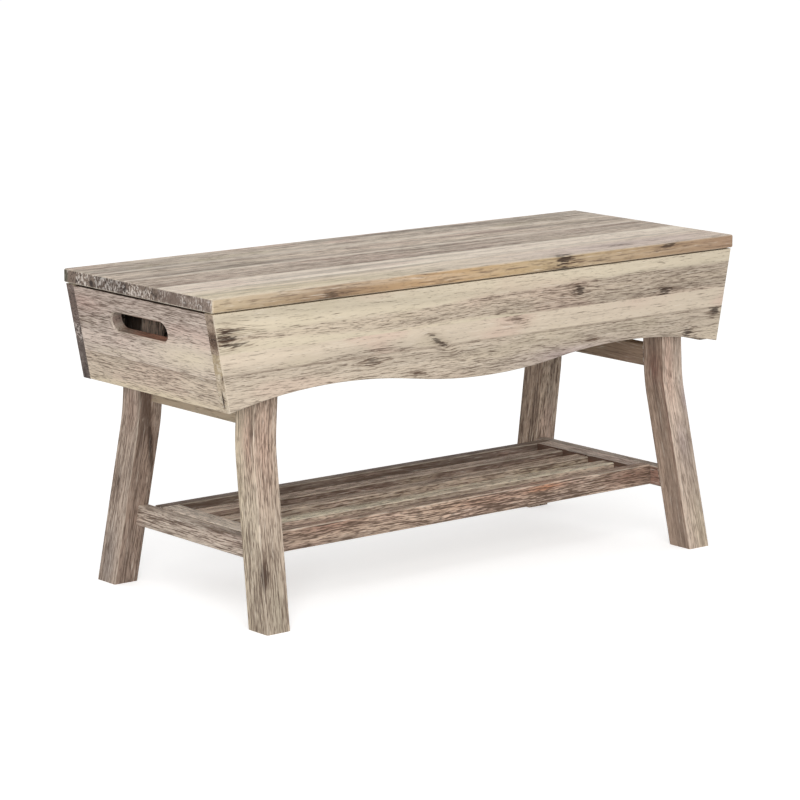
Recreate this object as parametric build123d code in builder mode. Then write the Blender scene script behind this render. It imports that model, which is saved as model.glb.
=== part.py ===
from build123d import *
from math import atan, cos, radians, sin, tan
import os

# Storage bench: a hinged lid on a trough-shaped box with a scalloped lower edge,
# carried by two leaning end frames of curved legs, with a slatted shelf between them.
# Millimetres, +Z up, X along the length, front at -Y, origin on the floor at the middle.

# Overall sizes
overall_length = 914.4
overall_height = 439.4
foot_spread = 387.35
box_and_lid_height = 149.8
box_depth = 332.0
board = 18.0

# Lid
lid_thickness = 18.0
lid_gap = 2.0
lid_end_overhang = 2.5
lid_front_overhang = 2.0
lid_back_overhang = 2.0
lid_board_widths = (68.0, 50.0, 74.0, 69.0)
lid_corner_round = 4.0
lid_top_round = 2.5
lid_lower_round = 1.2
batten_width = 45.0
batten_thickness = 15.0
batten_setback = 207.2
batten_end_room = 4.0

# Box
end_lean = 11.0
end_top_drop = 1.0
lower_board_width = 49.4
middle_board_width = 27.0
lower_end_board_width = 41.4
scallop_rise = 19.8
scallop_peak_setback = 176.5
edge_break = 1.2
hand_hole_length = 125.0
hand_hole_height = 26.0
hand_hole_drop = 39.4
hand_hole_offset = 8.0
hand_hole_round = 2.0
floor_thickness = 12.0
floor_room = 0.5
ledger_size = 15.0
ledger_rise = 22.4

# Legs and their cross pieces
foot_setback = 63.5
leg_thickness = 37.5
leg_depth = 41.0
leg_top_drop = 19.4
leg_lean = 3.2
leg_round = 2.0
knee_drop = 49.6
knee_radius = 205.0
rail_thickness = 17.0
upper_rail_drop = 33.6
upper_rail_height = 30.5
stretcher_underside = 83.0
stretcher_height = 28.0
tenon_thickness = 8.0
tenon_shoulder = 5.0
tenon_depth = 20.0
tenon_play = 0.2
tenon_end_room = 1.0

# Shelf
shelf_depth = 232.0
shelf_top = 111.4
shelf_rail_thickness = 18.0
shelf_rail_height = 28.6
shelf_end_width = 26.0
shelf_end_height = 20.0
slat_count = 3
slat_width = 25.0
slat_thickness = 12.0
slat_drop = 2.0
shelf_tenon_thickness = 6.0
shelf_tenon_depth = 10.0
shelf_tenon_shoulder = 4.0

# Hinges
hinge_setback = 157.2
hinge_length = 60.0
hinge_leaf = 0.9
hinge_leaf_inset = 1.0
knuckle_radius = 3.0
knuckle_length = 19.7
knuckle_gap = 0.3
knuckle_room = 0.3
pin_radius = 1.5
pin_play = 0.03
pin_overhang = 0.5
lid_opening = 95.0
stop_angle = 30.0
stop_thickness = 1.5
stop_width = 16.0
stop_room = 0.3

# Fasteners
screw_play = 0.05
leg_screw_radius = 2.5
leg_screw_head = 5.0
leg_screw_head_height = 3.5
leg_screw_bite = 12.0
leg_screw_rises = (24.4, 98.4)
ledger_screw_radius = 2.0
ledger_screw_head = 4.0
ledger_screw_head_height = 2.5
ledger_screw_bite = 12.0
ledger_screw_inset = 87.0
batten_screw_radius = 2.0
batten_screw_head = 4.0
batten_screw_head_height = 2.5
batten_screw_bite = 12.0
hinge_screw_radius = 1.5
hinge_screw_head = 2.75
hinge_screw_length = 12.0
hinge_screw_spacing = 36.0
dowel_radius = 4.0
dowel_length = 30.0
dowel_bite = 10.0
dowel_play = 0.05
dowel_end_room = 0.5
corner_dowel_rises = (20.4, 60.4, 112.4)
shelf_dowel_length = 24.0
bumper_radius = 5.0
bumper_height = 1.8
bumper_inset = 23.0

# Values worked out from the sizes above
lean = tan(radians(end_lean))
board_run = board / cos(radians(end_lean))
lid_underside = overall_height - lid_thickness
box_top = lid_underside - lid_gap
box_underside = overall_height - box_and_lid_height
box_half = box_depth / 2
box_inside = box_half - board
lid_front = -box_half - lid_front_overhang
lid_back = box_half + lid_back_overhang
end_top_reach = overall_length / 2 - lid_end_overhang
hand_hole_centre = box_top - hand_hole_drop
ledger_underside = box_underside + ledger_rise
floor_underside = ledger_underside + ledger_size
floor_top = floor_underside + floor_thickness
foot_length = overall_length - 2 * foot_setback
leg_inside = box_inside - leg_depth
leg_top = box_top - leg_top_drop
knee_height = box_underside - knee_drop
upper_rail_underside = box_underside - upper_rail_drop
leg_screw_heights = [box_underside + rise for rise in leg_screw_rises]
corner_dowel_heights = [box_underside + rise for rise in corner_dowel_rises]
splay = atan((foot_spread / 2 - box_inside) / knee_height)
leg_run = leg_thickness / cos(radians(leg_lean))
shelf_half = shelf_depth / 2
shelf_inside = shelf_half - shelf_rail_thickness
slat_top = shelf_top - slat_drop
slat_space = (2 * shelf_inside - slat_count * slat_width) / (slat_count + 1)
slat_pitch = slat_width + slat_space
slat_places = [(i - (slat_count - 1) / 2) * slat_pitch for i in range(slat_count)]
hinge_height = box_top + lid_gap / 2
hinge_back = lid_back + knuckle_room + knuckle_radius
hinge_front = box_inside + hinge_leaf_inset
hinge_reach = overall_length / 2 - hinge_setback
hinge_centres = (-hinge_reach, hinge_reach)
hinge_screw_steps = (-hinge_screw_spacing / 2, hinge_screw_spacing / 2)
hinge_screw_line = (hinge_front + box_half) / 2
batten_middle = overall_length / 2 - batten_setback
batten_reach = box_inside - batten_end_room
batten_underside = lid_underside - batten_thickness
lid_joints = [lid_front + sum(lid_board_widths[: i + 1]) for i in range(len(lid_board_widths))]
lid_edges = (lid_front, *lid_joints, lid_back)
batten_screw_places = [
    (max(front, -batten_reach) + min(back, batten_reach)) / 2
    for front, back in zip(lid_edges, lid_edges[1:])
]

ends = {"left": -1, "right": 1}
sides = {"front": -1, "back": 1}


def end_reach(height):
    # Distance from the middle to the outer face of the leaning ends at a height.
    return end_top_reach - (box_top - height) * lean


def leg_middle(height):
    # Distance from the middle of the bench to the middle of a leg's thickness at a height.
    return foot_length / 2 - leg_run / 2 - height * tan(radians(leg_lean))


def end_frame(end, setback=0):
    # Plane of an end frame, set back from the outer face of its legs, with local Y up the frame.
    tilt = radians(leg_lean)
    outer = Plane(
        origin=(end * foot_length / 2, 0, 0),
        x_dir=(0, end, 0),
        z_dir=(end * cos(tilt), 0, sin(tilt)),
    )
    return outer.offset(-setback)


def up_frame(height, setback=0):
    # Local Y, on an end frame's plane, of a height above the floor.
    tilt = radians(leg_lean)
    return (height + setback * sin(tilt)) / cos(tilt)


def end_face(end):
    # Plane of an end panel's outer face with its origin at the hand hole, a little behind the middle.
    tilt = radians(end_lean)
    return Plane(
        origin=(end * end_reach(hand_hole_centre), hand_hole_offset, hand_hole_centre),
        x_dir=(0, end, 0),
        z_dir=(end * cos(tilt), 0, -sin(tilt)),
    )


def facing(point, direction):
    # Plane at a point that looks along a direction.
    return Plane(origin=point, z_dir=direction)


def rod(point, direction, radius, length, mode=Mode.ADD):
    # Round rod or bore that starts at a point and runs along a direction.
    with Locations(facing(point, direction)):
        Cylinder(radius, length, align=(Align.CENTER, Align.CENTER, Align.MIN), mode=mode)


def cone(point, direction, wide, narrow, length, mode=Mode.ADD):
    # Screw head or countersink that starts wide at a point and narrows along a direction.
    with Locations(facing(point, direction)):
        Cone(wide, narrow, length, align=(Align.CENTER, Align.CENTER, Align.MIN), mode=mode)


def screw(point, direction, radius, head, head_height, length):
    # Countersunk screw whose flat head lies at a point.
    cone(point, direction, head, radius, head_height)
    rod(point, direction, radius, length)


def screw_hole(point, direction, radius, head, head_height, length):
    # Countersunk hole that a screw of the same sizes sits in.
    cone(point, direction, head + screw_play, radius + screw_play, head_height, Mode.SUBTRACT)
    rod(point, direction, radius + screw_play, length + screw_play, Mode.SUBTRACT)


def box_between(low, high, mode=Mode.ADD):
    # Block between two opposite corners.
    size = [b - a for a, b in zip(low, high)]
    with Locations(tuple((a + b) / 2 for a, b in zip(low, high))):
        Box(*size, mode=mode)


def save(piece, name):
    piece.part.label = name
    export_step(piece.part, f"parts/{name}.step")


def leg_outline(side, mode=Mode.ADD):
    # Side view of a leg: upright against the box, then a knee, then splayed to the floor.
    # The foot runs a little below the floor, where it is cut level.
    foot_cut = leg_depth
    drop = knee_height + foot_cut
    inner_knee = knee_height - leg_depth * tan(splay / 2)
    inner_foot = leg_inside + (inner_knee + foot_cut) * tan(splay)
    top = up_frame(leg_top)
    with BuildLine() as outline:
        outer = FilletPolyline(
            (side * (box_inside + drop * tan(splay)), -foot_cut),
            (side * box_inside, knee_height),
            (side * box_inside, top),
            radius=knee_radius,
        )
        inner = FilletPolyline(
            (side * leg_inside, top),
            (side * leg_inside, inner_knee),
            (side * inner_foot, -foot_cut),
            radius=knee_radius + leg_depth,
        )
        Line(outer @ 1, inner @ 0)
        Line(inner @ 1, outer @ 0)
    make_face(outline.edges(), mode=mode)


def leg_face(height):
    # Distance from the middle to the inner face of a leg, straight above its knee and splayed below.
    inner_knee = knee_height - leg_depth * tan(splay / 2)
    return leg_inside + max(inner_knee - height, 0) * tan(splay)


def cross_piece(piece, end, underside, height):
    # Rail between the two legs of an end frame, scribed to them, with a tenon in each.
    setback = leg_thickness - rail_thickness
    low = up_frame(underside, setback)
    middle = low + height / 2
    reach = leg_face(underside + height / 2)
    with BuildSketch(end_frame(end, setback)) as rail_face:
        with Locations((0, middle)):
            Rectangle(2 * reach + leg_depth, height)
        leg_outline(-1, Mode.SUBTRACT)
        leg_outline(1, Mode.SUBTRACT)
    extrude(rail_face.sketch, amount=-rail_thickness)
    chamfer(piece.edges().filter_by(Axis.Y), edge_break)
    with BuildSketch(end_frame(end, setback + (rail_thickness - tenon_thickness) / 2)) as tenon_face:
        with Locations((0, middle)):
            Rectangle(2 * (reach + tenon_depth), height - 2 * tenon_shoulder)
    extrude(tenon_face.sketch, amount=-tenon_thickness)


def mortise(end, side, underside, height):
    # Blind slot in a leg for a cross piece's tenon.
    setback = leg_thickness - rail_thickness
    middle = up_frame(underside, setback) + height / 2
    reach = leg_face(underside + height / 2) + tenon_depth + tenon_end_room
    with BuildSketch(end_frame(end, setback + (rail_thickness - tenon_thickness) / 2 - tenon_play)) as slot:
        with Locations((end * side * reach / 2, middle)):
            Rectangle(reach, height - 2 * tenon_shoulder + 2 * tenon_play)
    extrude(slot.sketch, amount=-tenon_thickness - 2 * tenon_play, mode=Mode.SUBTRACT)


def long_board_outline(low, high):
    # Front view of one board of a long panel, with ends cut to the lean of the box.
    Polygon(
        (-end_reach(low), low),
        (end_reach(low), low),
        (end_reach(high), high),
        (-end_reach(high), high),
        align=None,
    )


def scalloped_outline(low, high):
    # Front view of the lowest board: its lower edge has a belly between two arches.
    corner = (end_reach(low), low)
    scallop_peak = end_reach(low) - scallop_peak_setback
    peak = (scallop_peak, low + scallop_rise)
    turn = (scallop_peak / 2, low + scallop_rise / 2)
    with BuildLine() as outline:
        belly = TangentArc((0, low), turn, tangent=(1, 0))
        arch = TangentArc(turn, peak, tangent=belly % 1)
        TangentArc(peak, corner, tangent=arch % 1)
        Line(corner, (end_reach(high), high))
        Line((end_reach(high), high), (0, high))
        mirror(about=Plane.YZ)
    make_face(outline.edges())


def corner_dowel_x(height):
    return end_reach(height) - board_run / 2


ledger_reach = leg_middle(ledger_underside + ledger_size) - leg_run / 2 - floor_room
ledger_screw_places = (ledger_screw_inset - ledger_reach, 0, ledger_reach - ledger_screw_inset)


os.makedirs("parts", exist_ok=True)

# Lid boards, glued edge to edge
lid_places = zip(lid_edges, lid_edges[1:], batten_screw_places)
for number, (front, back, screw_place) in enumerate(lid_places, start=1):
    first = number == 1
    last = number == len(lid_edges) - 1
    with BuildPart() as lid_board:
        half = overall_length / 2
        box_between((-half, front, lid_underside), (half, back, overall_height))
        corners = lid_board.edges().filter_by(Axis.Z).group_by(Axis.Y)
        if first:
            fillet(corners[0], lid_corner_round)
        if last:
            fillet(corners[-1], lid_corner_round)
        top_edges = lid_board.edges().group_by(Axis.Z)[-1]
        low_edges = lid_board.edges().group_by(Axis.Z)[0]
        if not first:
            top_edges -= top_edges.filter_by(Axis.X).sort_by(Axis.Y)[:1]
            low_edges -= low_edges.filter_by(Axis.X).sort_by(Axis.Y)[:1]
        if not last:
            top_edges -= top_edges.filter_by(Axis.X).sort_by(Axis.Y)[-1:]
            low_edges -= low_edges.filter_by(Axis.X).sort_by(Axis.Y)[-1:]
        fillet(top_edges, lid_top_round)
        chamfer(low_edges, lid_lower_round)
        for end in ends.values():
            screw_hole(
                (end * batten_middle, screw_place, batten_underside),
                (0, 0, 1),
                batten_screw_radius,
                batten_screw_head,
                batten_screw_head_height,
                batten_thickness + batten_screw_bite,
            )
        if last:
            for centre in hinge_centres:
                for step in hinge_screw_steps:
                    screw_hole(
                        (centre + step, hinge_screw_line, lid_underside - hinge_leaf),
                        (0, 0, 1),
                        hinge_screw_radius,
                        hinge_screw_head,
                        hinge_screw_head - hinge_screw_radius,
                        hinge_screw_length,
                    )
    save(lid_board, f"lid_board_{number}")

# Battens that hold the lid boards flat
for end_name, end in ends.items():
    with BuildPart() as lid_batten:
        middle = end * batten_middle
        box_between(
            (middle - batten_width / 2, -batten_reach, batten_underside),
            (middle + batten_width / 2, batten_reach, lid_underside),
        )
        chamfer(lid_batten.edges().group_by(Axis.Z)[0], edge_break)
        for screw_place in batten_screw_places:
            screw_hole(
                (middle, screw_place, batten_underside),
                (0, 0, 1),
                batten_screw_radius,
                batten_screw_head,
                batten_screw_head_height,
                batten_thickness + batten_screw_bite,
            )
    save(lid_batten, f"lid_batten_{end_name}")

with BuildPart() as batten_screws:
    for end in ends.values():
        for screw_place in batten_screw_places:
            screw(
                (end * batten_middle, screw_place, batten_underside),
                (0, 0, 1),
                batten_screw_radius,
                batten_screw_head,
                batten_screw_head_height,
                batten_thickness + batten_screw_bite,
            )
save(batten_screws, "batten_screws")

# Long panels: three boards each, the lowest one scalloped
lower_joint = box_underside + lower_board_width
long_heights = (box_underside, lower_joint, lower_joint + middle_board_width, box_top)
long_names = ("lower", "middle", "upper")
for side_name, side in sides.items():
    for place, low, high in zip(long_names, long_heights, long_heights[1:]):
        with BuildPart() as long_board:
            with BuildSketch(Plane.XZ.offset(box_half if side < 0 else -box_inside)):
                if place == "lower":
                    scalloped_outline(low, high)
                else:
                    long_board_outline(low, high)
            extrude(amount=-board)
            outer_face = long_board.faces().filter_by(Axis.Y).sort_by(Axis.Y)[0 if side < 0 else -1]
            chamfer(outer_face.edges().filter_by(Axis.X, reverse=True), edge_break)
            for end in ends.values():
                for height in corner_dowel_heights:
                    if low < height < high:
                        rod(
                            (end * corner_dowel_x(height), side * box_inside, height),
                            (0, side, 0),
                            dowel_radius + dowel_play,
                            dowel_bite + dowel_end_room,
                            Mode.SUBTRACT,
                        )
                for height in leg_screw_heights:
                    if low < height < high:
                        rod(
                            (end * leg_middle(height), side * box_inside, height),
                            (0, side, 0),
                            leg_screw_radius + screw_play,
                            leg_screw_bite + screw_play,
                            Mode.SUBTRACT,
                        )
            ledger_line = ledger_underside + ledger_size / 2
            if low < ledger_line < high:
                for place_x in ledger_screw_places:
                    rod(
                        (place_x, side * box_inside, ledger_line),
                        (0, side, 0),
                        ledger_screw_radius + screw_play,
                        ledger_screw_bite + screw_play,
                        Mode.SUBTRACT,
                    )
            if place == "upper" and side > 0:
                for centre in hinge_centres:
                    for step in hinge_screw_steps:
                        screw_hole(
                            (centre + step, hinge_screw_line, box_top + hinge_leaf),
                            (0, 0, -1),
                            hinge_screw_radius,
                            hinge_screw_head,
                            hinge_screw_head - hinge_screw_radius,
                            hinge_screw_length,
                        )
        save(long_board, f"{side_name}_board_{place}")

# End panels: two boards each, the upper one with a hand hole
end_heights = (box_underside, box_underside + lower_end_board_width, box_top - end_top_drop)
for end_name, end in ends.items():
    for place, low, high in zip(("lower", "upper"), end_heights, end_heights[1:]):
        with BuildPart() as end_board:
            with BuildSketch(Plane.XZ):
                Polygon(
                    (end * end_reach(low), low),
                    (end * end_reach(high), high),
                    (end * (end_reach(high) - board_run), high),
                    (end * (end_reach(low) - board_run), low),
                    align=None,
                )
            extrude(amount=box_inside, both=True)
            if place == "lower":
                chamfer(end_board.edges().filter_by(Axis.Y).group_by(Axis.Z)[0], edge_break)
            else:
                with BuildSketch(end_face(end)):
                    SlotOverall(hand_hole_length, hand_hole_height)
                extrude(amount=-board, mode=Mode.SUBTRACT)
                rims = end_board.edges().filter_by(GeomType.CIRCLE)
                level_edges = end_board.edges().filter_by(Axis.Y)
                rims += level_edges.filter_by(lambda edge: edge.length < hand_hole_length)
                chamfer(rims, hand_hole_round)
            for side in sides.values():
                for height in corner_dowel_heights:
                    if low < height < high:
                        rod(
                            (end * corner_dowel_x(height), side * box_inside, height),
                            (0, -side, 0),
                            dowel_radius + dowel_play,
                            dowel_length - dowel_bite + dowel_end_room,
                            Mode.SUBTRACT,
                        )
        save(end_board, f"{end_name}_end_board_{place}")

with BuildPart() as corner_dowels:
    for end in ends.values():
        for side in sides.values():
            for height in corner_dowel_heights:
                rod(
                    (end * corner_dowel_x(height), side * (box_inside + dowel_bite), height),
                    (0, -side, 0),
                    dowel_radius,
                    dowel_length,
                )
save(corner_dowels, "corner_dowels")

# Box floor, notched round the legs, on a ledger along each long panel
with BuildPart() as floor_panel:
    floor_reach = end_reach(floor_underside) - board_run - floor_room
    floor_half = box_inside - floor_room
    box_between((-floor_reach, -floor_half, floor_underside), (floor_reach, floor_half, floor_top))
    lean_shift = floor_thickness * tan(radians(leg_lean))
    notch_half = leg_run / 2 + lean_shift + floor_room
    for end in ends.values():
        for side in sides.values():
            middle = end * leg_middle((floor_underside + floor_top) / 2)
            inner, outer = sorted((side * (leg_inside - floor_room), side * box_half))
            box_between(
                (middle - notch_half, inner, floor_underside),
                (middle + notch_half, outer, floor_top),
                Mode.SUBTRACT,
            )
save(floor_panel, "floor_panel")

for side_name, side in sides.items():
    with BuildPart() as ledger:
        inner, outer = sorted((side * (box_inside - ledger_size), side * box_inside))
        box_between((-ledger_reach, inner, ledger_underside), (ledger_reach, outer, floor_underside))
        for place_x in ledger_screw_places:
            screw_hole(
                (place_x, side * (box_inside - ledger_size), ledger_underside + ledger_size / 2),
                (0, side, 0),
                ledger_screw_radius,
                ledger_screw_head,
                ledger_screw_head_height,
                ledger_size + ledger_screw_bite,
            )
    save(ledger, f"ledger_{side_name}")

with BuildPart() as ledger_screws:
    for side in sides.values():
        for place_x in ledger_screw_places:
            screw(
                (place_x, side * (box_inside - ledger_size), ledger_underside + ledger_size / 2),
                (0, side, 0),
                ledger_screw_radius,
                ledger_screw_head,
                ledger_screw_head_height,
                ledger_size + ledger_screw_bite,
            )
save(ledger_screws, "ledger_screws")

# Legs
for end_name, end in ends.items():
    for side_name, side in sides.items():
        with BuildPart() as leg:
            with BuildSketch(end_frame(end)):
                leg_outline(end * side)
            extrude(amount=-leg_thickness)
            across = Axis((0, 0, 0), end_frame(end).z_dir)
            long_edges = leg.edges().filter_by(Axis.Y, reverse=True).filter_by(across, reverse=True)
            fillet(long_edges, leg_round)
            split(bisect_by=Plane.XY, keep=Keep.TOP)
            mortise(end, side, upper_rail_underside, upper_rail_height)
            mortise(end, side, stretcher_underside, stretcher_height)
            for height in leg_screw_heights:
                screw_hole(
                    (end * leg_middle(height), side * leg_inside, height),
                    (0, side, 0),
                    leg_screw_radius,
                    leg_screw_head,
                    leg_screw_head_height,
                    leg_depth + leg_screw_bite,
                )
        save(leg, f"leg_{side_name}_{end_name}")

with BuildPart() as leg_screws:
    for end in ends.values():
        for side in sides.values():
            for height in leg_screw_heights:
                screw(
                    (end * leg_middle(height), side * leg_inside, height),
                    (0, side, 0),
                    leg_screw_radius,
                    leg_screw_head,
                    leg_screw_head_height,
                    leg_depth + leg_screw_bite,
                )
save(leg_screws, "leg_screws")

# Cross pieces of the end frames
shelf_dowel_height = shelf_top - shelf_end_height / 2
shelf_dowel_line = slat_count / 2 * slat_pitch
shelf_dowel_start = foot_length / 2 - leg_run - shelf_dowel_height * tan(radians(leg_lean)) + dowel_bite
for end_name, end in ends.items():
    with BuildPart() as upper_rail:
        cross_piece(upper_rail, end, upper_rail_underside, upper_rail_height)
    save(upper_rail, f"upper_rail_{end_name}")
    with BuildPart() as stretcher:
        cross_piece(stretcher, end, stretcher_underside, stretcher_height)
        for side in sides.values():
            rod(
                (end * (shelf_dowel_start + dowel_end_room), side * shelf_dowel_line, shelf_dowel_height),
                (-end, 0, 0),
                dowel_radius + dowel_play,
                shelf_dowel_length,
                Mode.SUBTRACT,
            )
    save(stretcher, f"stretcher_{end_name}")

# Shelf: two long rails and two end rails framing the slats
shelf_reach = foot_length / 2
shelf_end_inner = foot_length / 2 - leg_run - shelf_top * tan(radians(leg_lean)) - shelf_end_width
shelf_tenon_height = shelf_end_height - 2 * shelf_tenon_shoulder
shelf_tenon_middle = shelf_top - shelf_end_height / 2
slat_tenon_width = slat_width - 2 * shelf_tenon_shoulder
slat_tenon_middle = slat_top - slat_thickness / 2
end_tenon_middle = shelf_end_inner + shelf_end_width / 2
for side_name, side in sides.items():
    with BuildPart() as shelf_rail:
        inner, outer = sorted((side * shelf_inside, side * shelf_half))
        box_between(
            (-shelf_reach, inner, shelf_top - shelf_rail_height),
            (shelf_reach, outer, shelf_top),
        )
        chamfer(shelf_rail.edges().filter_by(Axis.X), edge_break)
        for end in ends.values():
            split(bisect_by=end_frame(end, leg_thickness), keep=Keep.BOTTOM)
        for end in ends.values():
            reach = shelf_tenon_depth + tenon_end_room
            slot_inner, slot_outer = sorted((side * shelf_inside, side * (shelf_inside + reach)))
            slot_half = shelf_tenon_thickness / 2 + tenon_play
            slot_tall = shelf_tenon_height / 2 + tenon_play
            box_between(
                (end * end_tenon_middle - slot_half, slot_inner, shelf_tenon_middle - slot_tall),
                (end * end_tenon_middle + slot_half, slot_outer, shelf_tenon_middle + slot_tall),
                Mode.SUBTRACT,
            )
    save(shelf_rail, f"shelf_rail_{side_name}")

for end_name, end in ends.items():
    with BuildPart() as shelf_end_rail:
        inner, outer = sorted((end * shelf_end_inner, end * shelf_reach))
        box_between(
            (inner, -shelf_inside, shelf_top - shelf_end_height),
            (outer, shelf_inside, shelf_top),
        )
        split(bisect_by=end_frame(end, leg_thickness), keep=Keep.BOTTOM)
        tenon_reach = shelf_inside + shelf_tenon_depth
        box_between(
            (
                end * end_tenon_middle - shelf_tenon_thickness / 2,
                -tenon_reach,
                shelf_tenon_middle - shelf_tenon_height / 2,
            ),
            (
                end * end_tenon_middle + shelf_tenon_thickness / 2,
                tenon_reach,
                shelf_tenon_middle + shelf_tenon_height / 2,
            ),
        )
        slot_end = shelf_end_inner + shelf_tenon_depth + tenon_end_room
        slot_inner, slot_outer = sorted((end * shelf_end_inner, end * slot_end))
        slot_half = slat_tenon_width / 2 + tenon_play
        slot_tall = shelf_tenon_thickness / 2 + tenon_play
        for place_y in slat_places:
            box_between(
                (slot_inner, place_y - slot_half, slat_tenon_middle - slot_tall),
                (slot_outer, place_y + slot_half, slat_tenon_middle + slot_tall),
                Mode.SUBTRACT,
            )
        for side in sides.values():
            rod(
                (end * shelf_dowel_start, side * shelf_dowel_line, shelf_dowel_height),
                (-end, 0, 0),
                dowel_radius + dowel_play,
                shelf_dowel_length + dowel_end_room,
                Mode.SUBTRACT,
            )
    save(shelf_end_rail, f"shelf_end_rail_{end_name}")

for number, place_y in enumerate(slat_places, start=1):
    with BuildPart() as shelf_slat:
        box_between(
            (-shelf_end_inner, place_y - slat_width / 2, slat_top - slat_thickness),
            (shelf_end_inner, place_y + slat_width / 2, slat_top),
        )
        chamfer(shelf_slat.edges().filter_by(Axis.X).group_by(Axis.Z)[-1], edge_break)
        slat_reach = shelf_end_inner + shelf_tenon_depth
        box_between(
            (-slat_reach, place_y - slat_tenon_width / 2, slat_tenon_middle - shelf_tenon_thickness / 2),
            (slat_reach, place_y + slat_tenon_width / 2, slat_tenon_middle + shelf_tenon_thickness / 2),
        )
    save(shelf_slat, f"shelf_slat_{number}")

with BuildPart() as shelf_dowels:
    for end in ends.values():
        for side in sides.values():
            rod(
                (end * shelf_dowel_start, side * shelf_dowel_line, shelf_dowel_height),
                (-end, 0, 0),
                dowel_radius,
                shelf_dowel_length,
            )
save(shelf_dowels, "shelf_dowels")

# Hinges in the gap behind the lid: a bench leaf, a lid leaf with a stop tail, and a pin
notch_back = hinge_back - knuckle_radius - knuckle_room
lid_knuckle_half = knuckle_length / 2
bench_knuckle_start = lid_knuckle_half + knuckle_gap
hinge_half = hinge_length / 2
stop_lean = radians(stop_angle)
stop_length = (hinge_back - box_half - stop_room - stop_thickness / 2 * cos(stop_lean)) / sin(stop_lean)
stop_turn = lid_opening - stop_angle - 90
for end_name, centre in zip(ends, hinge_centres):
    with BuildPart() as bench_leaf:
        box_between(
            (centre - hinge_half, hinge_front, box_top),
            (centre + hinge_half, hinge_back, box_top + hinge_leaf),
        )
        box_between(
            (centre - bench_knuckle_start, notch_back, box_top),
            (centre + bench_knuckle_start, hinge_back, box_top + hinge_leaf),
            Mode.SUBTRACT,
        )
        for start in (-hinge_half, bench_knuckle_start):
            rod(
                (centre + start, hinge_back, hinge_height),
                (1, 0, 0),
                knuckle_radius,
                hinge_half - bench_knuckle_start,
            )
        rod(
            (centre - hinge_half, hinge_back, hinge_height),
            (1, 0, 0),
            pin_radius + pin_play,
            hinge_length,
            Mode.SUBTRACT,
        )
        for step in hinge_screw_steps:
            screw_hole(
                (centre + step, hinge_screw_line, box_top + hinge_leaf),
                (0, 0, -1),
                hinge_screw_radius,
                hinge_screw_head,
                hinge_screw_head - hinge_screw_radius,
                hinge_screw_length,
            )
    save(bench_leaf, f"hinge_bench_leaf_{end_name}")

    with BuildPart() as lid_leaf:
        box_between(
            (centre - hinge_half, hinge_front, lid_underside - hinge_leaf),
            (centre + hinge_half, notch_back, lid_underside),
        )
        box_between(
            (centre - lid_knuckle_half, notch_back, lid_underside - hinge_leaf),
            (centre + lid_knuckle_half, hinge_back, lid_underside),
        )
        rod(
            (centre - lid_knuckle_half, hinge_back, hinge_height),
            (1, 0, 0),
            knuckle_radius,
            knuckle_length,
        )
        stop_plane = Plane(
            origin=(centre - stop_width / 2, hinge_back, hinge_height),
            x_dir=(0, 1, 0),
            z_dir=(1, 0, 0),
        )
        with BuildSketch(stop_plane):
            Rectangle(stop_length, stop_thickness, rotation=stop_turn, align=(Align.MIN, Align.CENTER))
        extrude(amount=stop_width)
        rod(
            (centre - hinge_half, hinge_back, hinge_height),
            (1, 0, 0),
            pin_radius + pin_play,
            hinge_length,
            Mode.SUBTRACT,
        )
        for step in hinge_screw_steps:
            screw_hole(
                (centre + step, hinge_screw_line, lid_underside - hinge_leaf),
                (0, 0, 1),
                hinge_screw_radius,
                hinge_screw_head,
                hinge_screw_head - hinge_screw_radius,
                hinge_screw_length,
            )
    save(lid_leaf, f"hinge_lid_leaf_{end_name}")

    with BuildPart() as hinge_pin:
        rod(
            (centre - hinge_half - pin_overhang, hinge_back, hinge_height),
            (1, 0, 0),
            pin_radius,
            hinge_length + 2 * pin_overhang,
        )
    save(hinge_pin, f"hinge_pin_{end_name}")

with BuildPart() as bench_hinge_screws:
    for centre in hinge_centres:
        for step in hinge_screw_steps:
            screw(
                (centre + step, hinge_screw_line, box_top + hinge_leaf),
                (0, 0, -1),
                hinge_screw_radius,
                hinge_screw_head,
                hinge_screw_head - hinge_screw_radius,
                hinge_screw_length,
            )
save(bench_hinge_screws, "hinge_screws_bench")

with BuildPart() as lid_hinge_screws:
    for centre in hinge_centres:
        for step in hinge_screw_steps:
            screw(
                (centre + step, hinge_screw_line, lid_underside - hinge_leaf),
                (0, 0, 1),
                hinge_screw_radius,
                hinge_screw_head,
                hinge_screw_head - hinge_screw_radius,
                hinge_screw_length,
            )
save(lid_hinge_screws, "hinge_screws_lid")

# Pads on the front panel that the lid comes down on
with BuildPart() as lid_bumpers:
    for end in ends.values():
        rod(
            (end * (end_top_reach - bumper_inset), -box_half + board / 2, box_top),
            (0, 0, 1),
            bumper_radius,
            bumper_height,
        )
save(lid_bumpers, "lid_bumpers")
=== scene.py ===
import bpy
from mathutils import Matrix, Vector

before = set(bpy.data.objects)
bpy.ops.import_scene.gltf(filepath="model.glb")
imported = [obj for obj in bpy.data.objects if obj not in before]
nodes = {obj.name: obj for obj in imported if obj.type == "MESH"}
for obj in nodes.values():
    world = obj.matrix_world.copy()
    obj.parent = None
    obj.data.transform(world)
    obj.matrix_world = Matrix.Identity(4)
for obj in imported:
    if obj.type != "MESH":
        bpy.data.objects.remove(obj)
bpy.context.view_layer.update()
print("frame loaded:", len(nodes), "nodes")


def tone(red, green, blue):  # display colour, 0 to 255, as a linear colour
    parts = []
    for part in (red, green, blue):
        level = part / 255
        parts.append(level / 12.92 if level <= 0.04045 else ((level + 0.055) / 1.055) ** 2.4)
    return (*parts, 1.0)


palest = 240  # no streak is whiter than this


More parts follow.
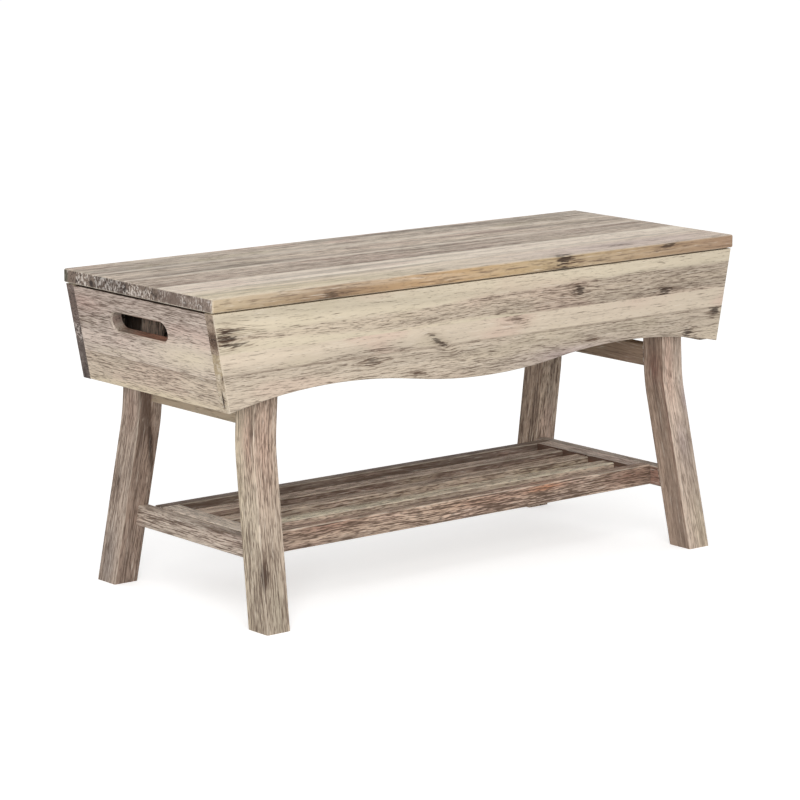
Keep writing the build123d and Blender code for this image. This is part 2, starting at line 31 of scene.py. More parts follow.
def shades(red, green, blue, dark=0.84, pale=1.08):  # dark, middle and pale streaks of one colour
    levels = (dark, 1.0, pale)
    return [tone(*[min(part * level, palest) for part in (red, green, blue)]) for level in levels]


def addNode(tree, kind, inputs=None, **settings):
    item = tree.nodes.new(kind)
    for key, value in settings.items():
        setattr(item, key, value)
    for key, value in (inputs or {}).items():
        if isinstance(value, bpy.types.NodeSocket):
            tree.links.new(value, item.inputs[key])
        else:
            item.inputs[key].default_value = value
    return item


def calc(tree, operation, *values):
    return addNode(tree, "ShaderNodeMath", dict(enumerate(values)), operation=operation).outputs[0]


def times(tree, first, second):
    return calc(tree, "MULTIPLY", first, second)


def minus(tree, first, second):
    return calc(tree, "SUBTRACT", first, second)


def plus(tree, value, factor, base):  # value * factor + base
    return calc(tree, "MULTIPLY_ADD", value, factor, base)


def inverse(tree, value):
    return minus(tree, 1.0, value)


def smooth(tree, value, low, high):  # 0 below low, 1 above high
    inputs = {"Value": value, "From Min": low, "From Max": high}
    return addNode(tree, "ShaderNodeMapRange", inputs, interpolation_type="SMOOTHSTEP").outputs["Result"]


def mixColour(tree, factor, first, second):
    inputs = {0: factor, 6: first, 7: second}
    return addNode(tree, "ShaderNodeMix", inputs, data_type="RGBA").outputs[2]


def tinted(tree, colour, mask, strength, tint):  # the tint laid over the colour where the mask is
    return mixColour(tree, times(tree, mask, strength), colour, tint)


noiseMiddle = 0.5  # the value that the noise hovers about


def noise(tree, space, scales, shift, detail=2.0, roughness=0.5, distortion=0.0):
    parts = [plus(tree, place, scale, move) for place, scale, move in zip(space, scales, shift)]
    inputs = {
        "Vector": addNode(tree, "ShaderNodeCombineXYZ", dict(enumerate(parts))).outputs[0],
        "Scale": 1.0,
        "Detail": detail,
        "Roughness": roughness,
        "Distortion": distortion,
    }
    return addNode(tree, "ShaderNodeTexNoise", inputs).outputs["Fac"]


def ramp(tree, factor, stops):
    item = addNode(tree, "ShaderNodeValToRGB", {"Fac": factor})
    band = item.color_ramp
    band.elements[0].position, band.elements[0].color = stops[0]
    band.elements[1].position, band.elements[1].color = stops[-1]
    for place, colour in stops[1:-1]:
        band.elements.new(place).color = colour
    return item.outputs["Color"]


def newMaterial(name):
    material = bpy.data.materials.new(name)
    material.use_nodes = True
    tree = material.node_tree
    tree.nodes.clear()
    shader = addNode(tree, "ShaderNodeBsdfPrincipled")
    output = addNode(tree, "ShaderNodeOutputMaterial")
    tree.links.new(shader.outputs[0], output.inputs[0])
    return material, tree, shader


def dress(nodeName, material):  # gives a CAD node its finish
    node = nodes[nodeName]
    node.data.materials.clear()
    node.data.materials.append(material)


# the washed, brushed wood that every board starts from
# order: the axes along the grain, across the board's face and through it
washedWood = {
    "order": "xyz",
    "bend": None,  # a leg's knee, splay and lean
    "seed": 0.0,
    "tones": shades(204, 190, 168),
    "lineTone": tone(92, 74, 62),
    "lines": 0.62,  # how dark the grain lines are
    "pores": 0.5,  # how dark the short dashes are
    "specks": 0.08,  # how dark the broader dashes are
    "soft": 0.2,  # how gently a line fades at its sides
    "fine": 1.0,  # how fine the lines are
    "dense": 0.45,  # how many lines and dashes there are
    "pale": 0.4,  # wash left between the lines
    "paleTone": tone(230, 221, 207),
    "pink": 0.22,
    "pinkTone": tone(206, 172, 158),
    "olive": 0.16,
    "oliveTone": tone(176, 166, 134),
    "heart": None,  # a band of darker, denser grain
    "knots": (),
    "knotTone": tone(48, 35, 28),
    "haloTone": tone(104, 78, 60),
    "stainsAndPaintedLight": (),
    "rims": (),  # lines along a long edge
    # some sides carry painted shade and painted light: the end boards' top edges and a back leg inside the box
    "faces": (),  # sides with a colour of their own
    "endTones": (tone(52, 42, 37), tone(126, 110, 98), tone(214, 204, 194)),
    "endSpots": 0.75,
    "endFlecks": 0.9,
    "endMarks": (),
    "edge": 0.4,  # how pale the rubbed edges are
    "edgeTone": tone(224, 213, 195),
    "relief": 0.5,
}
# a heart's low and high edges: a place across the board, and its slope along the board
plainHeart = {"wave": 0.012, "soft": 0.003, "dense": 0.7, "crests": (), "fade": None}
plainSpot = {"stretch": 1.6, "slope": 0.0, "halo": 0.6, "calm": 0.0}

# the noise in it, with scales along, across and through the grain
woodNoise = {
    "drift": {"scales": (4, 14, 14)},
    "streak": {"scales": (1.9, 48, 48), "detail": 3.0, "roughness": 0.55},
    "line": {"scales": (22, 440, 440), "roughness": 0.65, "distortion": 0.15},
    "pore": {"scales": (84, 820, 820), "detail": 1.0},
    "speck": {"scales": (42, 150, 150), "roughness": 0.6},
    "patch": {"scales": (4.5, 26, 26)},
    "wash": {"scales": (32, 400, 400), "roughness": 0.6},
    "tint": {"scales": (6, 20, 20)},
    "ragged": {"scales": (90, 300, 300), "detail": 3.0, "roughness": 0.6},
    "endCloud": {"scales": (40, 60, 60), "detail": 3.0, "roughness": 0.6},
    "endSpot": {"scales": (40, 380, 240), "roughness": 0.6},
    "endFleck": {"scales": (40, 400, 210), "roughness": 0.6},
    "endPatch": {"scales": (5, 30, 30), "detail": 1.0},
}

# the values at which each part of the look starts and is full
woodLimits = {
    "streak": (0.33, 0.49, 0.66),  # dark, middle and pale
    "pink": (0.52, 0.7),
    "olive": (0.3, 0.46),
    "line": 0.22,
    "pore": (0.2, 0.34),
    "speck": (0.22, 0.4),
    "paleLine": (0.56, 0.7),
    "paleWash": (0.42, 0.6),
    "knotStreak": (0.38, 0.58),
    "knotCore": (0.35, 1.15),
    "side": (0.35, 0.8),
    "sidePale": (0.5, 0.7),
    "end": (0.6, 0.85),
    "endCloud": (0.3, 0.46, 0.75),
    "endSpot": (0.38, 0.46),
    "endFleck": (0.5, 0.58),
    "endPatch": (0.38, 0.5),
    "endMark": (0.5, 1.3),
    "edge": (0.04, 0.12),
}

# how strongly one part works on another: a factor, or a factor and a base
woodForce = {
    "drift": 0.012,  # how far the grain wanders, in metres
    "swell": 0.35,  # how far it swells round a knot
    "swellFade": 0.3,
    "knotLines": 0.25,  # more lines near a knot
    "patchLines": (1.6, 0.2),
    "denser": 0.17,  # how many more lines dense grain has
    "crestFade": 1.0,
    "stainAndLightFade": 0.7,
    "stainAndLightWash": (0.8, 0.6),
    "haloFade": 0.35,
    "haloStreak": (0.85, 0.12),
    "knotEdge": {"ragged": 1.6, "line": 1.8, "pore": 2.4},
    "sidePale": 0.35,
    "sideSoft": 0.002,  # in metres
    "rimCore": 0.4,
    "rimWash": (1.4, -0.1),
    "edgeWash": (1.6, -0.25),
    "rough": (0.15, 0.65),
    "gloss": 0.25,
    "lineDepth": 1.0,
    "poreDepth": 0.6,
    "endHeight": 1.5,
    "depth": 0.0006,  # in metres
}


# spots also serve as patches of painted shade and painted light
def spotAt(along, across, **look):  # a knot, a stain or a mark, with its place and size in metres
    return {**plainSpot, "along": along, "across": across, **look}


def boardSpace(tree, board):
    place = addNode(tree, "ShaderNodeTexCoord")
    parts = addNode(tree, "ShaderNodeSeparateXYZ", {0: place.outputs["Object"]}).outputs
    facing = addNode(tree, "ShaderNodeSeparateXYZ", {0: place.outputs["Normal"]}).outputs
    index = ["xyz".index(letter) for letter in board["order"]]
    along, across, through = [parts[i] for i in index]
    if board["bend"]:  # a leg's grain follows its splay below the knee, and its lean
        drop = calc(tree, "MAXIMUM", minus(tree, board["bend"]["knee"], along), 0.0)
        across = plus(tree, drop, board["bend"]["splay"], across)
        through = plus(tree, along, board["bend"]["lean"], through)
    return (along, across, through), dict(zip(("along", "across", "through"), [facing[i] for i in index]))


def spotDistance(tree, along, across, spot):  # squared, 1 at the spot's edge
    away = minus(tree, along, spot["along"])
    aside = minus(tree, across, spot["across"])
    if spot["slope"]:  # it runs at a slant to the grain
        aside = plus(tree, away, -spot["slope"], aside)
    lengthwise = calc(tree, "DIVIDE", away, spot["size"] * spot["stretch"])
    crosswise = calc(tree, "DIVIDE", aside, spot["size"])
    return plus(tree, lengthwise, lengthwise, times(tree, crosswise, crosswise))


def fading(tree, squared, rate):
    return calc(tree, "EXPONENT", times(tree, squared, -rate))


def streaks(tree, streak, tones):
    return ramp(tree, streak, list(zip(woodLimits["streak"], tones)))


def addKnots(tree, colour, along, across, knots, ripples, board):
    for knot in knots:
        squared = spotDistance(tree, along, across, knot)
        streaky = inverse(tree, smooth(tree, ripples["line"], *woodLimits["knotStreak"]))
        streaky = plus(tree, streaky, *woodForce["haloStreak"])
        halo = times(tree, fading(tree, squared, woodForce["haloFade"]), streaky)
        colour = tinted(tree, colour, halo, knot["halo"], board["haloTone"])
        reach = calc(tree, "SQRT", squared)
        for name, force in woodForce["knotEdge"].items():
            reach = plus(tree, minus(tree, ripples[name], noiseMiddle), force, reach)
        core = inverse(tree, smooth(tree, reach, *woodLimits["knotCore"]))
        colour = tinted(tree, colour, core, knot["dark"], board["knotTone"])
    return colour


def heartBand(tree, heart, along, bent, patches):  # 1 in the band, 0 beside it
    wavy = plus(tree, minus(tree, patches, noiseMiddle), heart["wave"], bent)
    lowLine = plus(tree, along, heart["low"][1], heart["low"][0])
    highLine = plus(tree, along, heart["high"][1], heart["high"][0])
    for crest in heart["crests"]:
        rise = fading(tree, spotDistance(tree, along, crest["across"], crest), woodForce["crestFade"])
        highLine = plus(tree, rise, crest["rise"], highLine)
    above = smooth(tree, minus(tree, wavy, lowLine), -heart["soft"], heart["soft"])
    below = smooth(tree, minus(tree, highLine, wavy), -heart["soft"], heart["soft"])
    band = times(tree, above, below)
    if heart["fade"]:  # fainter towards one end
        start, end, least = heart["fade"]
        band = times(tree, band, plus(tree, smooth(tree, along, start, end), 1.0 - least, least))
    return band


def sideColour(tree, board, face, along, aside, streak, ripples):
    if "stops" in face:  # a run of colours along the length
        colour = ramp(tree, plus(tree, along, face["rate"], face["start"]), face["stops"])
        pale = smooth(tree, streak, *woodLimits["sidePale"])
        colour = tinted(tree, colour, pale, woodForce["sidePale"], board["tones"][2])
    else:
        colour = streaks(tree, streak, face["tones"])
    for stainAndPaintedLight in face.get("stainsAndPaintedLight", ()):
        spread = fading(tree, spotDistance(tree, along, aside, stainAndPaintedLight), woodForce["stainAndLightFade"])
        colour = tinted(tree, colour, spread, stainAndPaintedLight["strength"], stainAndPaintedLight["tone"])
    return addKnots(tree, colour, along, aside, face.get("knots", ()), ripples, board)


def sideMask(tree, face, facing, across):
    mask = smooth(tree, times(tree, facing[face["axis"]], face["sign"]), *woodLimits["side"])
    if "within" in face:  # only between two places across the board
        low, high = face["within"]
        mask = times(tree, mask, smooth(tree, across, low, low + woodForce["sideSoft"]))
        mask = times(tree, mask, inverse(tree, smooth(tree, across, high - woodForce["sideSoft"], high)))
    return mask


def cutEnd(tree, board, flat):  # dark, with pale wash left in the pores
    seed = board["seed"]
    cloud = noise(tree, flat, shift=(seed, seed, 1), **woodNoise["endCloud"])
    spots = noise(tree, flat, shift=(seed, 5, seed), **woodNoise["endSpot"])
    flecks = noise(tree, flat, shift=(1, seed, seed), **woodNoise["endFleck"])
    patches = noise(tree, flat, shift=(seed, seed, 9), **woodNoise["endPatch"])
    low, mid, high = board["endTones"]
    colour = ramp(tree, cloud, list(zip(woodLimits["endCloud"], (low, mid, mid))))
    dark = inverse(tree, smooth(tree, spots, *woodLimits["endSpot"]))
    colour = tinted(tree, colour, dark, board["endSpots"], low)
    pale = smooth(tree, flecks, *woodLimits["endFleck"])
    pale = times(tree, pale, smooth(tree, patches, *woodLimits["endPatch"]))
    colour = tinted(tree, colour, pale, board["endFlecks"], high)
    for mark in board["endMarks"]:
        spread = smooth(tree, spotDistance(tree, *flat[1:], mark), *woodLimits["endMark"])
        colour = tinted(tree, colour, inverse(tree, spread), mark["strength"], mark["tone"])
    return colour, spots


def woodFinish(nodeName, look):
    board = {**washedWood, **look}
    material, tree, shader = newMaterial("washed_" + nodeName)
    flat, facing = boardSpace(tree, board)
    along, across, through = flat
    seed = board["seed"]

    # the grain drifts a little, and swells round the knots
    drift = noise(tree, flat, shift=(seed, seed, seed), **woodNoise["drift"])
    bent = plus(tree, minus(tree, drift, noiseMiddle), woodForce["drift"], across)
    nearKnots = None
    for knot in board["knots"]:
        near = fading(tree, spotDistance(tree, along, across, knot), woodForce["swellFade"])
        offset = minus(tree, bent, knot["across"])
        bent = plus(tree, times(tree, offset, near), -woodForce["swell"], bent)
        nearKnots = near if nearKnots is None else calc(tree, "MAXIMUM", nearKnots, near)
    space = (along, bent, through)

    finer = [scale * board["fine"] for scale in woodNoise["line"]["scales"]]
    streak = noise(tree, space, shift=(seed, seed * 2, 0), **woodNoise["streak"])
    lineNoise = noise(tree, space, shift=(seed * 3, 0, seed), **{**woodNoise["line"], "scales": finer})
    poreNoise = noise(tree, space, shift=(0, seed, seed * 2), **woodNoise["pore"])
    speckNoise = noise(tree, space, shift=(seed, 1, seed * 2), **woodNoise["speck"])
    patches = noise(tree, space, shift=(seed, 7, seed), **woodNoise["patch"])
    wash = noise(tree, space, shift=(11, seed, 2), **woodNoise["wash"])
    tint = noise(tree, space, shift=(seed, 3, 19), **woodNoise["tint"])
    ragged = noise(tree, flat, shift=(seed, 3, 1), **woodNoise["ragged"])
    ripples = {"ragged": ragged, "line": lineNoise, "pore": poreNoise}

    # streaks, and a heart of darker grain in some boards
    colour = streaks(tree, streak, board["tones"])
    density = times(tree, plus(tree, patches, *woodForce["patchLines"]), board["dense"])
    if board["heart"]:
        heart = {**plainHeart, **board["heart"]}
        inHeart = heartBand(tree, heart, along, bent, patches)
        colour = mixColour(tree, inHeart, colour, streaks(tree, streak, heart["tones"]))
        density = plus(tree, inHeart, heart["dense"], density)
    if nearKnots is not None:
        density = plus(tree, nearKnots, woodForce["knotLines"], density)

    # tints, stains, painted shade and painted light, and sides with colours and knots of their own
    colour = tinted(tree, colour, smooth(tree, tint, *woodLimits["pink"]), board["pink"], board["pinkTone"])
    greenish = inverse(tree, smooth(tree, tint, *woodLimits["olive"]))
    colour = tinted(tree, colour, greenish, board["olive"], board["oliveTone"])
    for stainAndPaintedLight in board["stainsAndPaintedLight"]:
        spread = fading(tree, spotDistance(tree, along, bent, stainAndPaintedLight), woodForce["stainAndLightFade"])
        if stainAndPaintedLight["calm"]:  # with fewer lines in it
            density = plus(tree, spread, -stainAndPaintedLight["calm"], density)
        spread = times(tree, spread, plus(tree, wash, *woodForce["stainAndLightWash"]))
        colour = tinted(tree, colour, spread, stainAndPaintedLight["strength"], stainAndPaintedLight["tone"])
    for face in board["faces"]:
        aside = through if face["axis"] == "across" else across
        faceColour = sideColour(tree, board, face, along, aside, streak, ripples)
        colour = mixColour(tree, sideMask(tree, face, facing, across), colour, faceColour)

    # dark lines, dashes and broader specks, with wash left between them
    lowered = times(tree, density, -woodForce["denser"])
    lineLimits = (woodLimits["line"], woodLimits["line"] + board["soft"])
    lineMask = inverse(tree, smooth(tree, calc(tree, "ADD", lineNoise, lowered), *lineLimits))
    poreMask = inverse(tree, smooth(tree, calc(tree, "ADD", poreNoise, lowered), *woodLimits["pore"]))
    speckMask = inverse(tree, smooth(tree, calc(tree, "ADD", speckNoise, lowered), *woodLimits["speck"]))
    colour = tinted(tree, colour, speckMask, board["specks"], board["lineTone"])
    colour = tinted(tree, colour, lineMask, board["lines"], board["lineTone"])
    colour = tinted(tree, colour, poreMask, board["pores"], board["lineTone"])
    paleMask = smooth(tree, lineNoise, *woodLimits["paleLine"])
    paleMask = times(tree, paleMask, smooth(tree, wash, *woodLimits["paleWash"]))
    colour = tinted(tree, colour, paleMask, board["pale"], board["paleTone"])
    for rim in board["rims"]:
        away = calc(tree, "ABSOLUTE", minus(tree, across, rim["across"]))
        onRim = inverse(tree, smooth(tree, away, rim["width"] * woodForce["rimCore"], rim["width"]))
        onRim = times(tree, onRim, plus(tree, wash, *woodForce["rimWash"]))
        colour = tinted(tree, colour, onRim, rim["strength"], rim["tone"])

    # cut ends, knots, and edges rubbed pale where they are rounded
    turned = [calc(tree, "ABSOLUTE", part) for part in facing.values()]
    onEnd = smooth(tree, turned[0], *woodLimits["end"])
    endColour, endSpots = cutEnd(tree, board, flat)
    colour = mixColour(tree, onEnd, colour, endColour)
    colour = addKnots(tree, colour, along, across, board["knots"], ripples, board)
    squarest = calc(tree, "MAXIMUM", calc(tree, "MAXIMUM", turned[0], turned[1]), turned[2])
    rounded = smooth(tree, inverse(tree, squarest), *woodLimits["edge"])
    rubbed = times(tree, rounded, plus(tree, wash, *woodForce["edgeWash"]))
    colour = tinted(tree, colour, rubbed, board["edge"], board["edgeTone"])

    tree.links.new(colour, shader.inputs["Base Color"])
    tree.links.new(plus(tree, lineMask, *woodForce["rough"]), shader.inputs["Roughness"])
    shader.inputs["Specular IOR Level"].default_value = woodForce["gloss"]
    height = plus(tree, poreMask, -woodForce["poreDepth"], times(tree, lineMask, -woodForce["lineDepth"]))
    height = plus(tree, times(tree, endSpots, onEnd), woodForce["endHeight"], height)
    inputs = {"Strength": board["relief"], "Distance": woodForce["depth"], "Height": height}
    tree.links.new(addNode(tree, "ShaderNodeBump", inputs).outputs[0], shader.inputs["Normal"])
    dress(nodeName, material)


# lid: five boards, cream at the front, grey-brown in the middle and tan at the back
jointChalk = tone(230, 220, 205)
lidJoints = [
    {"across": -0.100, "width": 0.003, "tone": jointChalk, "strength": 0.6},
    {"across": -0.050, "width": 0.004, "tone": jointChalk, "strength": 0.7},
    {"across": 0.024, "width": 0.005, "tone": jointChalk, "strength": 0.9},
    {"across": 0.093, "width": 0.005, "tone": jointChalk, "strength": 0.8},
]
lidWood = {"order": "xyz", "specks": 0.32}
lid = {
    "lid_board_1": {
        "seed": 1.3,
        "tones": shades(219, 204, 184, 0.82, 1.08),
        "dense": 0.3,
        "knots": (
            spotAt(-0.090, -0.160, size=0.005, stretch=4.0, dark=0.5, halo=0.6),
            spotAt(0.135, -0.163, size=0.007, stretch=2.6, dark=0.8, halo=0.8),
            spotAt(0.262, -0.141, size=0.006, stretch=4.0, dark=0.5, halo=0.6),
        ),
        "stainsAndPaintedLight": (
            spotAt(0.27, -0.14, size=0.03, stretch=6.0, tone=tone(206, 186, 182), strength=0.6),
            spotAt(-0.3, -0.15, size=0.02, stretch=8.0, tone=tone(218, 204, 170), strength=0.6),
        ),
        "endTones": (tone(74, 61, 53), tone(132, 116, 105), tone(222, 214, 206)),
        "endSpots": 0.5,
        "endFlecks": 0.5,
        "faces": (
            {
                "axis": "across",
                "sign": -1.0,
                "rate": 1.09,
                "start": 0.5,
                "stops": [
                    (0.0, tone(180, 160, 128)),
                    (0.21, tone(152, 126, 100)),
                    (0.4, tone(190, 157, 118)),
                    (0.62, tone(188, 165, 129)),
                    (1.0, tone(165, 136, 112)),
                ],
                "knots": (
                    spotAt(-0.270, 0.4255, size=0.005, stretch=3.6, dark=0.6),
                    spotAt(0.135, 0.4345, size=0.006, stretch=2.6, dark=0.8),
                    spotAt(0.328, 0.4350, size=0.005, stretch=2.4, dark=0.75),
                    spotAt(0.20, 0.4270, size=0.003, stretch=6.0, dark=0.3),
                ),
            },
        ),
    },
    "lid_board_2": {
        "seed": 2.7,
        "tones": shades(231, 216, 199, 0.8, 1.06),
        "dense": 0.3,
        "endTones": (tone(66, 54, 47), tone(116, 100, 90), tone(206, 196, 186)),
        "endSpots": 0.4,
        "endFlecks": 0.4,
    },
    "lid_board_3": {
        "seed": 4.1,
        "tones": shades(197, 181, 165, 0.78, 1.12),
        "dense": 0.7,
        "specks": 0.4,
    },
    "lid_board_4": {
        "seed": 5.9,
        "tones": shades(209, 193, 176, 0.74, 1.1),
        "dense": 0.55,
        "specks": 0.4,
        "endTones": (tone(42, 34, 30), tone(98, 84, 75), tone(222, 214, 206)),
        "endFlecks": 0.6,
    },
    "lid_board_5": {
        "seed": 7.2,
        "tones": shades(201, 187, 171, 0.78, 1.1),
        "dense": 0.55,
        "specks": 0.4,
        "pink": 0.4,
        "olive": 0.4,
        "endMarks": (
            spotAt(0.170, 0.430, size=0.014, stretch=1.0, tone=tone(74, 74, 60), strength=0.8),
        ),
    },
}
for number, (nodeName, look) in enumerate(lid.items()):
    joints = lidJoints[max(number - 1, 0):number + 1]  # the joints at the board's own edges
    woodFinish(nodeName, {**lidWood, "rims": joints, **look})
print("lid dressed")


# long panels: cream and pinkish boards, and a grey-brown band of dense grain in the upper one
heartTones = shades(192, 176, 157, 0.92, 1.06)
creamTones = shades(208, 195, 172, 0.93, 1.05)
middleTones = shades(208, 193, 173, 0.93, 1.04)
lowerTones = shades(199, 184, 165, 0.94, 1.05)
jointShade = tone(112, 94, 80)
shadyEnd = (tone(52, 42, 38), tone(104, 92, 85), tone(180, 168, 160))
seamKnot = spotAt(-0.086, 0.345, size=0.005, stretch=3.0, slope=-0.59, dark=0.75)  # in two boards
longPanelWood = {"order": "xzy", "fine": 1.8, "lines": 0.8, "pores": 0.62}
longPanels = {
    "front_board_upper": {
        "seed": 11.0,
        "tones": creamTones,
        "dense": 0.04,
        "specks": 0.06,
        "heart": {
            "low": (0.3685, -0.028),
            "high": (0.396, 0.020),
            "fade": (-0.42, 0.1, 0.58),
            "tones": heartTones,
            "dense": 0.6,
        },
        "knots": (
            spotAt(-0.438, 0.386, size=0.011, stretch=1.5, dark=0.75, halo=0.9),
            spotAt(-0.426, 0.396, size=0.003, stretch=7.0, dark=0.6),
            spotAt(-0.428, 0.386, size=0.003, stretch=7.0, dark=0.8),
            spotAt(-0.422, 0.378, size=0.003, stretch=9.0, dark=0.7),
            spotAt(0.165, 0.388, size=0.007, stretch=1.6, dark=0.8),
            spotAt(0.325, 0.371, size=0.007, stretch=1.8, dark=0.75),
        ),
        "endTones": (tone(90, 74, 62), tone(166, 148, 130), tone(200, 188, 170)),
        "endSpots": 0.5,
        "endFlecks": 0.6,
        "endMarks": (
            spotAt(0.384, -0.158, size=0.009, stretch=1.3, tone=tone(84, 62, 50), strength=0.7),
        ),
    },
    "front_board_middle": {
        "seed": 13.0,
        "tones": middleTones,
        "dense": 0.04,
        "specks": 0.06,
        "pink": 0.4,
        "heart": {
            "low": (0.30, 0.0),
            "high": (0.3375, 0.004),
            "crests": (spotAt(-0.20, 0.0, size=0.11, stretch=1.0, rise=0.010),),
            "tones": lowerTones,
            "dense": 0.5,
            "soft": 0.0008,
            "wave": 0.004,
        },
        "knots": (
            seamKnot,
            spotAt(0.052, 0.360, size=0.007, stretch=1.8, dark=0.35, halo=0.6),
        ),
        "rims": ({"across": 0.339, "width": 0.0018, "tone": jointShade, "strength": 0.55},),
        "endTones": (tone(110, 94, 78), tone(176, 158, 130), tone(214, 202, 182)),
        "endSpots": 0.35,
        "endFlecks": 0.6,
    },
    "front_board_lower": {
        "seed": 17.0,
        "tones": lowerTones,
        "dense": 0.5,
        "knots": (
            seamKnot,
            spotAt(-0.200, 0.331, size=0.006, stretch=2.2, dark=0.5, halo=0.6),
            spotAt(0.423, 0.335, size=0.008, stretch=1.5, dark=0.8),
            spotAt(0.371, 0.308, size=0.007, stretch=1.4, dark=0.75),
            spotAt(-0.118, 0.306, size=0.003, stretch=3.5, dark=0.3),
            spotAt(0.185, 0.318, size=0.003, stretch=3.5, dark=0.3),
        ),
        "stainsAndPaintedLight": (
            spotAt(0.15, 0.300, size=0.012, stretch=6.0, tone=tone(170, 150, 154), strength=0.6),
            spotAt(0.44, 0.294, size=0.014, stretch=3.0, tone=tone(214, 200, 176), strength=0.7),
        ),
        "rims": ({"across": 0.3385, "width": 0.0022, "tone": jointShade, "strength": 0.55},),
        "endTones": (tone(110, 92, 76), tone(194, 177, 154), tone(218, 206, 186)),
        "endSpots": 0.45,
        "endFlecks": 0.7,
        "endMarks": (
            spotAt(0.307, -0.1565, size=0.0016, stretch=8.0, tone=tone(48, 36, 28), strength=0.9),
        ),
    },
    "back_board_upper": {
        "seed": 21.0,
        "tones": creamTones,
        "dense": 0.12,
        "specks": 0.1,
        "heart": {"low": (0.372, 0.03), "high": (0.400, -0.03), "tones": heartTones, "dense": 0.85},
        "knots": (
            spotAt(0.24, 0.392, size=0.008, dark=0.8),
            spotAt(-0.31, 0.381, size=0.007, dark=0.7),
        ),
        "endTones": (tone(56, 46, 42), tone(112, 96, 88), tone(180, 166, 158)),
        "endFlecks": 0.3,
    },
    "back_board_middle": {
        "seed": 23.0,
        "tones": middleTones,
        "dense": 0.12,
        "specks": 0.1,
        "pink": 0.4,
        "knots": (spotAt(-0.05, 0.352, size=0.007, stretch=2.0, dark=0.7),),
        "endTones": shadyEnd,
    },
    "back_board_lower": {
        "seed": 27.0,
        "tones": lowerTones,
        "dense": 0.6,
        "knots": (
            spotAt(0.13, 0.322, size=0.008, stretch=2.0, dark=0.75),
            spotAt(-0.38, 0.326, size=0.008, stretch=1.6, dark=0.7),
        ),
        "rims": ({"across": 0.3385, "width": 0.0022, "tone": jointShade, "strength": 0.7},),
        "endTones": (tone(60, 50, 46), tone(96, 84, 78), tone(160, 148, 140)),
        "endSpots": 0.4,
        "endFlecks": 0.3,
    },
}
for nodeName, look in longPanels.items():
    woodFinish(nodeName, {**longPanelWood, **look})
print("long panels dressed")


# end panels: pinkish grey with dense fine grain, cream towards the joint and the lower edge
endTaupe = shades(212, 195, 182, 0.9, 1.05)
endBeige = shades(208, 191, 171, 0.9, 1.05)
holeWall = {
    "axis": "across",
    "within": (0.345, 0.410),
    "tones": shades(166, 118, 96, 0.75, 1.15),
    "stainsAndPaintedLight": (spotAt(0.055, -0.445, size=0.02, stretch=1.2, tone=tone(150, 138, 124), strength=0.9),),
}
# the end boards' top edges get a dark grey-brown tone: painted shade in the gap under the lid
paintedShadeTopEdge = {"axis": "across", "sign": 1.0, "within": (0.413, 0.430), "tones": shades(112, 94, 81, 0.85, 1.1)}
holeBoardSides = ({"sign": 1.0, **holeWall}, {"sign": -1.0, **holeWall}, paintedShadeTopEdge)
holeEnds = (tone(84, 70, 62), tone(158, 138, 126), tone(206, 194, 184))
endJoint = {"across": 0.3302, "width": 0.0018, "tone": jointShade, "strength": 0.5}
endPanelWood = {"order": "yzx", "fine": 1.8, "lines": 0.82, "pores": 0.62}
endPanels = {
    "left_end_board_upper": {
        "seed": 31.0,
        "tones": endTaupe,
        "dense": 0.72,
        "pink": 0.35,
        "stainsAndPaintedLight": (
            spotAt(0.13, 0.400, size=0.012, stretch=3.0, tone=tone(204, 166, 154), strength=0.5),
            spotAt(-0.10, 0.352, size=0.016, stretch=4.5, tone=tone(222, 208, 184), strength=0.85, calm=0.6),
            spotAt(0.06, 0.336, size=0.006, stretch=12.0, tone=tone(214, 199, 178), strength=0.6, calm=0.3),
            # painted shade under the lid's overhang: a darker strip just below the board's top edge
            spotAt(0.0, 0.415, size=0.012, stretch=16.0, tone=tone(176, 160, 149), strength=0.7),
        ),
        "faces": holeBoardSides,
        "endTones": holeEnds,
    },
    "left_end_board_lower": {
        "seed": 33.0,
        "tones": endBeige,
        "dense": 0.6,
        "stainsAndPaintedLight": (
            spotAt(0.0, 0.290, size=0.007, stretch=22.0, tone=tone(220, 205, 174), strength=0.7, calm=0.3),
        ),
        "rims": (endJoint,),
    },
    "right_end_board_upper": {
        "seed": 35.0,
        "tones": endTaupe,
        "dense": 0.7,
        "knots": (spotAt(0.09, 0.352, size=0.008, dark=0.75),),
        "faces": holeBoardSides,
        "endTones": holeEnds,
    },
    "right_end_board_lower": {
        "seed": 37.0,
        "tones": endBeige,
        "dense": 0.6,
        "rims": (endJoint,),
    },
}
for nodeName, look in endPanels.items():
    woodFinish(nodeName, {**endPanelWood, **look})
print("end panels dressed")


